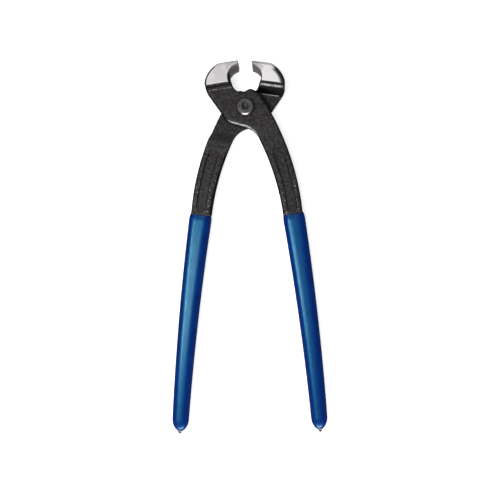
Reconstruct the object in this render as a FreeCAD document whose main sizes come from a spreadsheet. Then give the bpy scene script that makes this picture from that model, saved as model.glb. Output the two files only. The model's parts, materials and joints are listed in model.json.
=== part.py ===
"""Tile nippers: two identical forged levers crossed at a rivet, carbide tips brazed into the jaws, dipped grips.

The levers are one forging used twice, the second turned half a turn about the tool's long axis.
A lever is drawn with its jaw closed: the pivot is the origin, the jaw is at -X, the handle runs down -Y,
and +Z is the side on which its half of the lap joint lies.  A Placement then opens each lever
and lays the tool on its back: +Y points to the jaws, +Z is up, and the origin is the middle of the footprint.
"""
import FreeCAD, Part
import os

import Sketcher

Vector = FreeCAD.Vector
Rotation = FreeCAD.Rotation

DIMENSIONS = [
    # name, millimetres or degrees, meaning
    ("head_depth", 20.0, "width of the cutting edges"),
    ("opening_angle", 16.4, "angle between the levers as the tool lies"),
    # plan of the jaw
    ("bite_gap", 0.1, "half of the gap between the closed cutting edges"),
    ("bite_lean", 0.6, "how far the carbide's end leans back below its cutting edge"),
    ("crown_height", 28.0, "flat crown, above the pivot"),
    ("throat_radius", 8.0, "round hollow behind the cutting edge"),
    ("throat_height", 18.0, "centre of the hollow, above the pivot"),
    ("lip_radius", 5.8, "plate's smaller hollow, under the round one"),
    ("lip_height", 15.4, "centre of that smaller hollow, above the pivot"),
    ("lip_lean", 10.0, "slope of the lip's straight rise into the round hollow"),
    ("crown_radius", 6.0, "corner between the crown and the jaw's back"),
    ("jaw_top_radius", 18.1, "jaw's back, below that corner"),
    ("jaw_side_radius", 9.7, "jaw's back, further down"),
    ("jaw_side_angle", 149.1, "where the two curves of the back meet"),
    ("flank_angle", 26.5, "slope of the straight flank from the tool's axis"),
    ("flank_run", 20.4, "length of the flank up from the heel's corner"),
    ("heel_radius", 11.3, "rounding of the heel"),
    ("heel_run", 11.4, "length of the lower edge from the heel's corner"),
    ("heel_slope", 24.2, "slope of the lower edge"),
    # plan of the joint and the arm
    ("boss_radius", 11.9, "plate round the pivot"),
    ("boss_angle", 24.4, "where the boss meets the arm's outer edge"),
    ("bump_radius", 3.0, "rounding between the boss and the hollow"),
    ("crotch_radius", 13.6, "curve from the lower edge into the arm"),
    ("crotch_angle", 17.5, "where that curve meets the arm's inner edge"),
    ("belly_radius", 154.7, "arm's inner edge"),
    ("belly_drop", 66.5, "centre of that curve, below the pivot"),
    ("back_radius", 158.0, "arm's outer edge"),
    ("arm_length", 68.5, "pivot to the mouth of the grip"),
    ("arm_inner", 12.7, "arm's inner edge from the tool's axis, at the grip"),
    # thickness
    ("plate_depth", 6.5, "each half of the lap joint"),
    ("lap_gap", 0.05, "lap plane to the face of each half"),
    ("arm_depth", 11.0, "arm"),
    ("ground_foot", 14.7, "lower end of the jaw's ground side over the plate, above the pivot"),
    ("ground_back_foot", 16.6, "lower end of the other ground side, above the pivot"),
    ("step_radius", 1.6, "hollow corner at the foot of the ground sides"),
    ("shelf_foot", 14.2, "lower end of the shelf under the other ground side, above the pivot"),
    ("shoulder_foot", 10.2, "lower end of the shoulder, above the pivot"),
    ("shoulder_radius", 12.4, "round relief that clears the other lever's boss"),
    ("fall_start", 10.0, "start of the front's gentle fall to the arm, below the pivot"),
    ("fall_length", 14.0, "length of that fall"),
    ("ramp_start", 17.5, "end of the lap plane, below the pivot"),
    ("ramp_run", 5.0, "length of the ramp at the end of the lap plane"),
    ("ramp_end", 27.0, "end of the ramp's hollow, below the pivot"),
    ("arm_rounding", 1.6, "rounded edges of the arm and the plate"),
    ("jaw_rounding", 0.8, "rounded edge of the jaw's back, on the plate's side"),
    ("jaw_back_rounding", 1.8, "the same on the other side"),
    ("relief_margin", 1.1, "how far the reliefs run past the arm's end, as a multiple of its length"),
    ("seat_margin", 1.0, "how far the seat's cut runs past the crown"),
    ("hollow_margin", 2.0, "how far the seat's cut runs into the hollow"),
    ("ramp_knee", 0.8, "part of the fall to the arm that the ramp makes before its hollow"),
    # sunk panels in the arm
    ("panel_width", 6.4, "panel at the arm's surface"),
    ("panel_depth", 0.9, "depth of the panel"),
    ("panel_draft", 25.0, "slope of the panel's walls"),
    ("panel_start", 30.2, "upper round end, below the pivot"),
    ("panel_end", 64.8, "lower round end, below the pivot"),
    # carbide tip and the braze under it
    ("tip_arc", 55.0, "part of the round hollow that is carbide"),
    ("tip_depth", 2.5, "carbide's thickness from the chord of that part"),
    ("braze_depth", 0.15, "braze between carbide and seat"),
    # rivet
    ("shank_radius", 4.0, "rivet's shank"),
    ("shank_clearance", 0.05, "running clearance in the front lever"),
    ("rivet_radius", 5.4, "rivet's heads"),
    ("rivet_height", 9.0, "end of each head from the lap plane"),
    ("rivet_chamfer", 1.1, "sloped rim of each head"),
    ("dimple_radius", 2.2, "dimple in each head"),
    ("dimple_depth", 1.2, "depth of the dimple"),
    # handle under the grip, and the grip
    ("handle_out", 19.05, "handle's centre line from the tool's axis, at its widest"),
    ("bow_drop", 80.9, "height of that widest place below the pivot"),
    ("bow_radius", 1700.0, "curve of the handle's centre line"),
    ("taper_end", 196.0, "end of the handle's taper, below the pivot"),
    ("tang_width_top", 11.9, "steel at the mouth of the grip"),
    ("tang_width_end", 8.0, "steel at the end of the taper"),
    ("tang_depth_top", 10.9, "steel's thickness at the mouth"),
    ("tang_depth_end", 7.8, "steel's thickness at the end of the taper"),
    ("tang_corner_top", 1.9, "steel's rounded corners at the mouth"),
    ("tang_corner_end", 3.4, "steel's rounded corners at the end of the taper"),
    ("grip_width_top", 13.7, "grip at its mouth"),
    ("grip_width_end", 10.2, "grip at the end of the taper"),
    ("grip_depth_top", 12.7, "grip's thickness at its mouth"),
    ("grip_depth_end", 9.6, "grip's thickness at the end of the taper"),
    ("grip_corner_top", 4.2, "grip's rounded corners at its mouth"),
    ("grip_corner_end", 4.4, "grip's rounded corners at the end of the taper"),
    ("point_length", 8.8, "end of the taper to the steel's point"),
    ("grip_nose", 7.0, "end of the taper to the end of the grip"),
]
BAR_STATIONS = (0.0, 0.35, 0.7, 1.0)
TANG_NOSE = ((0.0, 1.0), (0.45, 0.78), (0.8, 0.42), (1.0, 0.12))
GRIP_NOSE = ((0.0, 1.0), (0.4, 0.92), (0.75, 0.73), (1.0, 0.46))

SMALL = 0.01
START, END, CENTRE = 1, 2, 3
ORIGIN = (-1, 1)
VERTICAL_AXIS = -2

doc = FreeCAD.newDocument("tile_nippers")
sheet = doc.addObject("Spreadsheet::Sheet", "Sizes")


def fill_sheet():
    """One row per dimension: its meaning and its value, with the name as the value's alias."""
    for row, (name, value, meaning) in enumerate(DIMENSIONS, start=1):
        sheet.set(f"A{row}", meaning)
        sheet.set(f"B{row}", str(value))
        sheet.setAlias(f"B{row}", name)
    doc.recompute()


def size(name):
    return float(sheet.get(name))


def polar(length, angle):
    """Vector in the drawing plane with the given length and direction in degrees."""
    return Rotation(Vector(0, 0, 1), angle).multVec(Vector(length, 0, 0))


def new_sketch(body, name, role, drop=None):
    """Sketch on an origin plane of the body; drop is an expression that moves it along the plane's normal."""
    plane = next(item for item in body.Origin.OriginFeatures if item.Role == role)
    sketch = body.newObject("Sketcher::SketchObject", name)
    sketch.AttachmentSupport = [(plane, "")]
    sketch.MapMode = "FlatFace"
    if drop:
        sketch.setExpression("AttachmentOffset.Base.z", drop)
    return sketch


def bind(sketch, kind, parts, expression):
    """Constraint whose value follows an expression of the sheet."""
    value = float(sketch.evalExpression(expression))
    index = sketch.addConstraint(Sketcher.Constraint(kind, *parts, value))
    sketch.setExpression(f"Constraints[{index}]", expression)


def arc_between(start, end, radius, turn):
    """Short arc from start to end; turn is 1 for a curve to the left and -1 for one to the right."""
    chord = end - start
    middle = (start + end) / 2
    normal = Vector(-chord.y, chord.x, 0).normalize()
    rise = radius - (radius**2 - chord.Length**2 / 4) ** 0.5
    return Part.Arc(start, middle - normal * rise * turn, end)


def add_stretches(sketch, corners):
    """Closed chain of lines and arcs through the corners, each (point, radius or None, turn)."""
    count = len(corners)
    for index, (start, radius, turn) in enumerate(corners):
        end = corners[(index + 1) % count][0]
        if radius is None:
            sketch.addGeometry(Part.LineSegment(start, end), False)
        else:
            sketch.addGeometry(arc_between(start, end, radius, turn), False)
    return [end_vertices(turn if radius else 1) for _, radius, turn in corners]


def end_vertices(turn):
    """Sketcher's numbers of a stretch's first and last point: arcs always run anticlockwise."""
    return (START, END) if turn > 0 else (END, START)


def draw(sketch, corners):
    """Closed outline through corners given as expressions (x, y) or (x, y, radius, turn)."""
    numbers = []
    for x, y, *curve in corners:
        point = Vector(float(sketch.evalExpression(x)), float(sketch.evalExpression(y)), 0)
        radius = float(sketch.evalExpression(curve[0])) if curve else None
        numbers.append((point, radius, curve[1] if curve else 1))
    ends = add_stretches(sketch, numbers)
    for index, (x, y, *curve) in enumerate(corners):
        following = (index + 1) % len(corners)
        joint = (index, ends[index][1], following, ends[following][0])
        sketch.addConstraint(Sketcher.Constraint("Coincident", *joint))
        bind(sketch, "DistanceX", (*ORIGIN, index, ends[index][0]), x)
        bind(sketch, "DistanceY", (*ORIGIN, index, ends[index][0]), y)
        if curve:
            bind(sketch, "Radius", (index,), curve[0])


def draw_circle(sketch, radius, height=None):
    """Circle about the pivot, or about a point on the tool's axis at a height above it."""
    rise = float(sketch.evalExpression(height)) if height else 0
    circle = Part.Circle(Vector(0, rise, 0), Vector(0, 0, 1), float(sketch.evalExpression(radius)))
    number = sketch.addGeometry(circle, False)
    if height:
        sketch.addConstraint(Sketcher.Constraint("PointOnObject", number, CENTRE, VERTICAL_AXIS))
        bind(sketch, "DistanceY", (*ORIGIN, number, CENTRE), height)
    else:
        sketch.addConstraint(Sketcher.Constraint("Coincident", number, CENTRE, *ORIGIN))
    bind(sketch, "Radius", (number,), radius)


def draw_lever_plan(sketch):
    """Outline of jaw, joint plate and arm, anticlockwise from the top of the cutting edge.

    The curves run into each other, so their centres follow from each other: arm, crotch, heel, flank, jaw.
    """
    gap = size("bite_gap")
    mouth = -size("arm_length")
    crown = size("crown_height")
    boss = size("boss_radius")
    bump = size("bump_radius")
    throat = Vector(0, size("throat_height"), 0)
    hollow = size("throat_radius")
    lip_centre = Vector(0, size("lip_height"), 0)
    lip = size("lip_radius")
    belly = size("belly_radius")
    crotch = size("crotch_radius")
    heel = size("heel_radius")
    side = size("jaw_side_radius")
    top = size("jaw_top_radius")
    blend = size("crown_radius")
    back = size("back_radius")

    belly_height = -size("belly_drop")
    belly_side = (belly**2 - (mouth - belly_height) ** 2) ** 0.5
    belly_centre = Vector(size("arm_inner") - belly_side, belly_height, 0)
    arm_inner = Vector(size("arm_inner"), mouth, 0)
    crotch_low = belly_centre + polar(belly, size("crotch_angle"))
    crotch_centre = belly_centre + polar(belly - crotch, size("crotch_angle"))
    crotch_high = crotch_centre + polar(crotch, 90 - size("heel_slope"))

    lower_edge = polar(1, -size("heel_slope"))
    flank = polar(1, 90 + size("flank_angle"))
    heel_corner = crotch_high - lower_edge * size("heel_run")
    bend = polar(1, flank_bend() / 2)
    heel_tangent = heel * bend.y / bend.x
    heel_low = heel_corner + lower_edge * heel_tangent
    heel_high = heel_corner + flank * heel_tangent
    flank_top = heel_corner + flank * size("flank_run")

    side_centre = flank_top + polar(side, size("flank_angle"))
    side_top = side_centre + polar(side, size("jaw_side_angle"))
    top_centre = side_top - polar(top, size("jaw_side_angle"))
    blend_rise = crown - blend - top_centre.y
    blend_out = ((top - blend) ** 2 - blend_rise**2) ** 0.5
    blend_centre = top_centre + Vector(-blend_out, blend_rise, 0)
    crown_end = blend_centre + Vector(0, blend, 0)
    blend_low = top_centre + (blend_centre - top_centre) * (top / (top - blend))

    bump_height = (lip_centre.y**2 + (boss - bump) ** 2 - (lip + bump) ** 2) / (2 * lip_centre.y)
    bump_centre = Vector(((boss - bump) ** 2 - bump_height**2) ** 0.5, bump_height, 0)
    bump_right = bump_centre * (boss / (boss - bump))
    bump_left = lip_centre + (bump_centre - lip_centre) * (lip / (lip + bump))
    lip_low = lip_centre + polar(lip, 180 + size("lip_lean"))
    lip_rise = polar(1, 90 + size("lip_lean"))
    from_throat = lip_low - throat
    along = from_throat.dot(lip_rise)
    hollow_low = lip_low + lip_rise * ((along**2 - from_throat.Length**2 + hollow**2) ** 0.5 - along)
    boss_right = polar(boss, size("boss_angle"))
    back_centre = boss_right - polar(back, size("boss_angle"))
    arm_outer = Vector(back_centre.x + (back**2 - (mouth - back_centre.y) ** 2) ** 0.5, mouth, 0)
    edge_top = Vector(-gap, crown, 0)
    edge_foot = Vector(-gap, throat.y + (hollow**2 - gap**2) ** 0.5, 0)

    # each stretch: name, first point, name of its radius, turn, and whether the stretch before runs into it
    stretches = [
        ("crown", edge_top, None, 1, False),
        ("blend", crown_end, "crown_radius", 1, True),
        ("jaw_top", blend_low, "jaw_top_radius", 1, True),
        ("jaw_side", side_top, "jaw_side_radius", 1, True),
        ("flank", flank_top, None, 1, True),
        ("heel", heel_high, "heel_radius", 1, True),
        ("lower_edge", heel_low, None, 1, True),
        ("crotch", crotch_high, "crotch_radius", -1, True),
        ("belly", crotch_low, "belly_radius", -1, True),
        ("mouth", arm_inner, None, 1, False),
        ("back", arm_outer, "back_radius", 1, False),
        ("boss", boss_right, "boss_radius", 1, True),
        ("bump", bump_right, "bump_radius", 1, True),
        ("lip", bump_left, "lip_radius", -1, True),
        ("rise", lip_low, None, 1, True),
        ("hollow", hollow_low, "throat_radius", -1, False),
        ("bite", edge_foot, None, 1, False),
    ]
    number = {name: index for index, (name, *_) in enumerate(stretches)}
    corners = [(point, size(radius) if radius else None, turn) for _, point, radius, turn, _ in stretches]
    ends = add_stretches(sketch, corners)
    for index, (_, _, radius, _, smooth) in enumerate(stretches):
        before = (index - 1) % len(stretches)
        kind = "Tangent" if smooth else "Coincident"
        joint = (before, ends[before][1], index, ends[index][0])
        sketch.addConstraint(Sketcher.Constraint(kind, *joint))
        if radius:
            bind(sketch, "Radius", (index,), f"Sizes.{radius}")
    sketch.addConstraint(Sketcher.Constraint("Coincident", number["boss"], CENTRE, *ORIGIN))
    for name, height in (("hollow", "throat_height"), ("lip", "lip_height")):
        sketch.addConstraint(Sketcher.Constraint("PointOnObject", number[name], CENTRE, VERTICAL_AXIS))
        bind(sketch, "DistanceY", (*ORIGIN, number[name], CENTRE), f"Sizes.{height}")
    bind(sketch, "DistanceX", (*ORIGIN, number["crown"], START), "-Sizes.bite_gap")
    bind(sketch, "DistanceY", (*ORIGIN, number["crown"], START), "Sizes.crown_height")
    bind(sketch, "DistanceX", (*ORIGIN, number["mouth"], START), "Sizes.arm_inner")
    bind(sketch, "DistanceY", (*ORIGIN, number["mouth"], START), "-Sizes.arm_length")
    bind(sketch, "DistanceY", (*ORIGIN, number["belly"], CENTRE), "-Sizes.belly_drop")


def flank_bend():
    """Angle through which the outline turns at the heel."""
    return 90 - size("flank_angle") - size("heel_slope")


def pad(body, name, sketch, up, down):
    """Solid grown from the sketch, up and down from its plane."""
    feature = body.newObject("PartDesign::Pad", name)
    feature.Profile = sketch
    feature.SideType = "Two sides"
    feature.setExpression("Length", up)
    feature.setExpression("Length2", down)
    return feature


def pocket(body, name, sketch, length=None, reversed_side=False, symmetric=False, draft=None):
    """Cut from the sketch; without a length it goes right through.  The cut has to remove something."""
    doc.recompute()
    before = body.Shape.Volume
    feature = body.newObject("PartDesign::Pocket", name)
    feature.Profile = sketch
    feature.Reversed = reversed_side
    if symmetric:
        feature.SideType = "Symmetric"
    if length:
        feature.setExpression("Length", length)
    else:
        feature.Type = "ThroughAll"
    if draft:
        feature.setExpression("TaperAngle", draft)
    doc.recompute()
    if not body.Shape.Volume < before - SMALL:
        raise RuntimeError(f"{body.Label} {name} cut nothing")
    return feature


def draw_front_relief(sketch):
    """Side profile, pivot height across and depth up, of what is cut away in front of plate and arm."""
    fall_end = "-(Sizes.fall_start + Sizes.fall_length)"
    fall_middle = "-(Sizes.fall_start + Sizes.fall_length / 2)"
    drop = "(Sizes.plate_depth - Sizes.arm_depth / 2)"
    fall_radius = f"(pow(Sizes.fall_length; 2) + pow({drop}; 2)) / (4 * {drop})"
    outside = "Sizes.head_depth"
    low = "-Sizes.arm_length * Sizes.relief_margin"
    draw(sketch, [
        ("Sizes.ground_foot", outside),
        (low, outside),
        (low, "Sizes.arm_depth / 2"),
        (fall_end, "Sizes.arm_depth / 2", fall_radius, 1),
        (fall_middle, f"Sizes.plate_depth - {drop} / 2", fall_radius, -1),
        ("-Sizes.fall_start", "Sizes.plate_depth"),
        ("Sizes.ground_foot - Sizes.step_radius", "Sizes.plate_depth", "Sizes.step_radius", 1),
        ("Sizes.ground_foot", "Sizes.plate_depth + Sizes.step_radius"),
    ])


def draw_back_relief(sketch):
    """The same for the other side: shelf, shoulder, lap plane, ramp and arm."""
    outside = "-Sizes.head_depth"
    low = "-Sizes.arm_length * Sizes.relief_margin"
    arm = "-Sizes.arm_depth / 2"
    shelf_start = "Sizes.ground_back_foot - Sizes.step_radius"
    ramp_foot = "-(Sizes.ramp_start + Sizes.ramp_run)"
    draw(sketch, [
        ("Sizes.ground_back_foot", outside),
        ("Sizes.ground_back_foot", "-(Sizes.plate_depth + Sizes.step_radius)", "Sizes.step_radius", 1),
        (shelf_start, "-Sizes.plate_depth"),
        ("Sizes.shelf_foot", "-Sizes.plate_depth"),
        ("Sizes.shoulder_foot", "Sizes.lap_gap"),
        ("-Sizes.ramp_start", "Sizes.lap_gap"),
        (ramp_foot, f"({arm}) * Sizes.ramp_knee"),
        ("-Sizes.ramp_end", arm),
        (low, arm),
        (low, outside),
    ])


def draw_panel(sketch):
    """Round-ended panel that follows the middle of the arm."""
    belly_height = -size("belly_drop")
    mouth = -size("arm_length")
    belly_side = (size("belly_radius") ** 2 - (mouth - belly_height) ** 2) ** 0.5
    belly_centre = Vector(size("arm_inner") - belly_side, belly_height, 0)
    back_centre = polar(size("boss_radius") - size("back_radius"), size("boss_angle"))
    centre = (belly_centre + back_centre) / 2
    radius = (size("belly_radius") + size("back_radius")) / 2
    half = size("panel_width") / 2
    ends = []
    for name in ("panel_start", "panel_end"):
        height = -size(name) - centre.y
        ends.append(Vector((radius**2 - height**2) ** 0.5, height, 0))
    upper, lower = (end.normalize() for end in ends)
    corners = [
        (centre + upper * (radius - half), radius - half, -1),
        (centre + lower * (radius - half), half, 1),
        (centre + lower * radius + tip_of(lower, half, -1), half, 1),
        (centre + lower * (radius + half), radius + half, 1),
        (centre + upper * (radius + half), half, 1),
        (centre + upper * radius + tip_of(upper, half, 1), half, 1),
    ]
    sides = add_stretches(sketch, corners)
    for index in range(len(corners)):
        before = index - 1 if index else len(corners) - 1
        joint = (before, sides[before][1], index, sides[index][0])
        sketch.addConstraint(Sketcher.Constraint("Tangent", *joint))
    bind(sketch, "Radius", (1,), "Sizes.panel_width / 2")


def tip_of(outwards, half, side):
    """From the centre of a round end to its tip, along the arm."""
    return Vector(-outwards.y, outwards.x, 0) * half * side


def tip_corners(extra):
    """Where carbide or seat ends: at the hollow, behind it, and at the crown; extra is the braze's depth."""
    edge_y = "(Sizes.throat_height + sqrt(pow(Sizes.throat_radius; 2) - pow(Sizes.bite_gap; 2)))"
    slope = "(Sizes.tip_arc / 2)"
    depth = f"(Sizes.tip_depth + {extra})"
    chord = "(2 * Sizes.throat_radius * sin(Sizes.tip_arc / 2))"
    length = f"({chord} + {extra})"
    at_hollow = (f"-{length} * cos({slope})", f"{edge_y} - {length} * sin({slope})")
    behind = (
        f"-{length} * cos({slope}) - {depth} * sin({slope})",
        f"{edge_y} - {length} * sin({slope}) + {depth} * cos({slope})",
    )
    rise = f"({edge_y} + {depth} * cos({slope}) - Sizes.crown_height)"
    at_crown = (f"-{depth} * sin({slope}) - {rise} / tan({slope})", "Sizes.crown_height")
    return at_hollow, behind, at_crown


def draw_seat(sketch):
    """Notch for carbide and braze, open towards the bite, the crown and the hollow."""
    at_hollow, behind, at_crown = tip_corners("Sizes.braze_depth")
    slope = "(Sizes.tip_arc / 2)"
    reach = "Sizes.hollow_margin"
    inside = (f"{at_hollow[0]} + sin({slope}) * {reach}", f"{at_hollow[1]} - cos({slope}) * {reach}")
    above = "Sizes.crown_height + Sizes.seat_margin"
    draw(sketch, [
        behind,
        inside,
        ("Sizes.tip_depth", inside[1]),
        ("Sizes.tip_depth", above),
        (f"{at_crown[0]} + Sizes.seat_margin / tan({slope})", above),
    ])


def draw_tip(sketch):
    """Section of the carbide tip, whose end leans back so that the bite is at the crown."""
    at_hollow, behind, at_crown = tip_corners("0")
    foot_x = "(Sizes.bite_gap + Sizes.bite_lean)"
    foot_y = f"Sizes.throat_height + sqrt(pow(Sizes.throat_radius; 2) - pow({foot_x}; 2))"
    draw(sketch, [
        ("-Sizes.bite_gap", "Sizes.crown_height"),
        at_crown,
        behind,
        (*at_hollow, "Sizes.throat_radius", -1),
        (f"-{foot_x}", foot_y),
    ])


def draw_braze(sketch):
    """Section of the braze: an angle that lines the seat."""
    inner = tip_corners("0")
    outer = tip_corners("Sizes.braze_depth")
    draw(sketch, [*reversed(outer), *inner])


def draw_rivet(sketch):
    """Half section of the rivet about its axis, with the lap plane at zero height."""
    rim = "Sizes.rivet_radius - Sizes.rivet_chamfer"
    shoulder = "Sizes.rivet_height - Sizes.rivet_chamfer"
    dimple = "Sizes.rivet_height - Sizes.dimple_depth"
    under_front = "Sizes.plate_depth + Sizes.lap_gap"
    draw(sketch, [
        ("0", f"-({dimple})"),
        ("Sizes.dimple_radius", "-Sizes.rivet_height"),
        (rim, "-Sizes.rivet_height"),
        ("Sizes.rivet_radius", f"-({shoulder})"),
        ("Sizes.rivet_radius", "-Sizes.plate_depth"),
        ("Sizes.shank_radius", "-Sizes.plate_depth"),
        ("Sizes.shank_radius", under_front),
        ("Sizes.rivet_radius", under_front),
        ("Sizes.rivet_radius", shoulder),
        (rim, "Sizes.rivet_height"),
        ("Sizes.dimple_radius", "Sizes.rivet_height"),
        ("0", dimple),
    ])


def taper(name, share):
    """Expression for a width or depth at a share of the handle's taper."""
    return f"(Sizes.{name}_top + (Sizes.{name}_end - Sizes.{name}_top) * {share})"


def draw_section(sketch, drop, width, depth, corner):
    """Rounded rectangle across the handle at a drop below the pivot, centred on the bowed centre line."""
    centre = f"(Sizes.handle_out - pow({drop} - Sizes.bow_drop; 2) / (2 * Sizes.bow_radius))"
    left, right = f"{centre} - {width} / 2", f"{centre} + {width} / 2"
    low, high = f"-{depth} / 2", f"{depth} / 2"
    draw(sketch, [
        (f"{left} + {corner}", low),
        (f"{right} - {corner}", low, corner, 1),
        (right, f"{low} + {corner}"),
        (right, f"{high} - {corner}", corner, 1),
        (f"{right} - {corner}", high),
        (f"{left} + {corner}", high, corner, 1),
        (left, f"{high} - {corner}"),
        (left, f"{low} + {corner}", corner, 1),
    ])


def loft(body, kind, name, sections):
    """Smooth solid or cut through sections across the handle, each (drop, width, depth, corner)."""
    sketches = []
    for index, (drop, width, depth, corner) in enumerate(sections):
        sketch = new_sketch(body, f"{name}_{index}", "XZ_Plane", drop)
        draw_section(sketch, drop, width, depth, corner)
        sketches.append(sketch)
    doc.recompute()
    feature = body.newObject(kind, name)
    feature.Profile = sketches[0]
    feature.Sections = sketches[1:]
    doc.recompute()
    return feature


def bar_sections(piece):
    """Tapered stretch of the steel or of the grip, from the grip's mouth to the end of the taper."""
    sections = []
    for share in BAR_STATIONS:
        drop = f"(Sizes.arm_length + (Sizes.taper_end - Sizes.arm_length) * {share})"
        names = (f"{piece}_{measure}" for measure in ("width", "depth", "corner"))
        sections.append((drop, *(taper(name, share) for name in names)))
    return sections


def nose_sections(piece, length, stations):
    """Rounded end of the steel or of the grip."""
    sections = []
    for share, scale in stations:
        drop = f"(Sizes.taper_end + Sizes.{length} * {share})"
        names = (f"{piece}_{measure}" for measure in ("width", "depth", "corner"))
        sections.append((drop, *(f"(Sizes.{name}_end * {scale})" for name in names)))
    return sections


def round_edges(body, name, radius, wanted):
    """Fillet on the edges for which wanted(edge, middle) is true."""
    doc.recompute()
    base = body.Tip
    names = []
    for number, edge in enumerate(base.Shape.Edges, start=1):
        middle = edge.valueAt((edge.FirstParameter + edge.LastParameter) / 2)
        if wanted(edge, middle):
            names.append(f"Edge{number}")
    feature = body.newObject("PartDesign::Fillet", name)
    feature.Base = (base, names)
    feature.setExpression("Radius", radius)
    doc.recompute()
    return feature


def on_arm_side(edge, middle):
    """Long edges between the arm's faces and its two sides, below the lap plane's end."""
    on_face = abs(abs(middle.z) - size("arm_depth") / 2) < SMALL
    below_ramp = -size("arm_length") < middle.y < -size("ramp_end")
    return on_face and below_ramp and edge.Length > size("arm_depth")


def round_crown(body, label):
    """Round the edges between the ground sides and the crown, from where the jaw's back carries on smoothly."""
    for side, direction, radius in (("front", 1, "jaw_rounding"), ("back", -1, "jaw_back_rounding")):
        height = direction * size("head_depth") / 2

        def on_crown(edge, middle):
            return abs(middle.z - height) < SMALL and abs(middle.y - size("crown_height")) < SMALL

        round_edges(body, f"{label}_{side}_rounding", f"Sizes.{radius}", on_crown)


def make_lever(label, bore):
    """One forging, with its bore, seat, panels and the tang under the grip."""
    body = doc.addObject("PartDesign::Body", label)
    plan = new_sketch(body, f"{label}_plan", "XY_Plane")
    draw_lever_plan(plan)
    pad(body, f"{label}_forging", plan, "Sizes.head_depth / 2", "Sizes.head_depth / 2")
    round_crown(body, label)
    for side, draw_relief in (("front", draw_front_relief), ("back", draw_back_relief)):
        profile = new_sketch(body, f"{label}_{side}_profile", "YZ_Plane")
        draw_relief(profile)
        pocket(body, f"{label}_{side}_relief", profile, symmetric=True)
    shoulder = new_sketch(body, f"{label}_shoulder_plan", "XY_Plane", "Sizes.lap_gap")
    draw_circle(shoulder, "Sizes.shoulder_radius")
    pocket(body, f"{label}_shoulder_relief", shoulder)
    round_edges(body, f"{label}_arm_rounding", "Sizes.arm_rounding", on_arm_side)
    for side, height in (("front", "Sizes.plate_depth"), ("back", "Sizes.lap_gap")):
        hollow = new_sketch(body, f"{label}_{side}_hollow_plan", "XY_Plane", height)
        draw_circle(hollow, "Sizes.throat_radius", "Sizes.throat_height")
        pocket(body, f"{label}_{side}_hollow", hollow, reversed_side=side == "front")
    hole = new_sketch(body, f"{label}_bore_plan", "XY_Plane")
    draw_circle(hole, bore)
    pocket(body, f"{label}_bore", hole, symmetric=True)
    seat = new_sketch(body, f"{label}_seat_plan", "XY_Plane")
    draw_seat(seat)
    pocket(body, f"{label}_seat", seat, symmetric=True)
    for side, direction in (("front", 1), ("back", -1)):
        panel = new_sketch(body, f"{label}_{side}_panel_plan", "XY_Plane", f"{direction} * Sizes.arm_depth / 2")
        draw_panel(panel)
        pocket(body, f"{label}_{side}_panel", panel, "Sizes.panel_depth", direction < 0, draft="Sizes.panel_draft")
    loft(body, "PartDesign::AdditiveLoft", f"{label}_tang", bar_sections("tang"))
    loft(body, "PartDesign::AdditiveLoft", f"{label}_point", nose_sections("tang", "point_length", TANG_NOSE))
    return body


def make_tip(label):
    """Carbide block across the whole cutting edge."""
    body = doc.addObject("PartDesign::Body", label)
    section = new_sketch(body, f"{label}_section", "XY_Plane")
    draw_tip(section)
    pad(body, f"{label}_block", section, "Sizes.head_depth / 2", "Sizes.head_depth / 2")
    round_crown(body, label)
    return body


def make_braze(label):
    """Braze that lines the carbide's seat."""
    body = doc.addObject("PartDesign::Body", label)
    section = new_sketch(body, f"{label}_section", "XY_Plane")
    draw_braze(section)
    half = "Sizes.head_depth / 2"
    pad(body, f"{label}_layer", section, f"{half} - Sizes.jaw_rounding", f"{half} - Sizes.jaw_back_rounding")
    return body


def make_grip(label):
    """Dipped sleeve over the tang, open at its mouth and pierced by the steel's point."""
    body = doc.addObject("PartDesign::Body", label)
    loft(body, "PartDesign::AdditiveLoft", f"{label}_sleeve", bar_sections("grip"))
    loft(body, "PartDesign::AdditiveLoft", f"{label}_nose", nose_sections("grip", "grip_nose", GRIP_NOSE))
    loft(body, "PartDesign::SubtractiveLoft", f"{label}_cavity", bar_sections("tang"))
    loft(body, "PartDesign::SubtractiveLoft", f"{label}_hole", nose_sections("tang", "point_length", TANG_NOSE))
    return body


def make_rivet(label):
    """Turned rivet with two proud heads, each with a dimple."""
    body = doc.addObject("PartDesign::Body", label)
    section = new_sketch(body, f"{label}_section", "XZ_Plane")
    draw_rivet(section)
    feature = body.newObject("PartDesign::Revolution", f"{label}_turning")
    feature.Profile = section
    feature.ReferenceAxis = (section, ["V_Axis"])
    feature.Angle = 360
    return body


def place(body, turn, back_to_front):
    """Open a closed lever by turn, first turning it over where it is the rear one."""
    over = Rotation(Vector(0, 1, 0), 180 if back_to_front else 0)
    body.Placement = FreeCAD.Placement(pivot_place(), Rotation(Vector(0, 0, 1), turn) * over)


def pivot_place():
    """The pivot seen from the middle of the footprint, which reaches from the steel's points to the crown."""
    opened = Rotation(Vector(0, 0, 1), size("opening_angle") / 2)
    drop = size("taper_end") + size("point_length")
    out = size("handle_out") - (drop - size("bow_drop")) ** 2 / (2 * size("bow_radius"))
    crown = opened.multVec(Vector(-size("bite_gap"), size("crown_height"), 0))
    point = opened.multVec(Vector(out, -drop, 0))
    return Vector(0, -(crown.y + point.y) / 2, size("head_depth") / 2)


def check_and_write(bodies):
    """Stop at a failed feature or a bad shape, then write one file for each sub-part."""
    doc.recompute()
    for item in doc.Objects:
        if "Invalid" in item.State or "Error" in item.State:
            raise RuntimeError(f"{item.Label} did not build: {item.State}")
    for body in bodies:
        if body.Shape.isNull() or not body.Shape.isValid() or len(body.Shape.Solids) != 1:
            raise RuntimeError(f"{body.Label} is not one valid solid")
    os.makedirs("parts", exist_ok=True)
    for body in bodies:
        body.Shape.exportStep(f"parts/{body.Label}.step")
        print(body.Label, round(body.Shape.Volume, 1), body.Shape.BoundBox)


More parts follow.
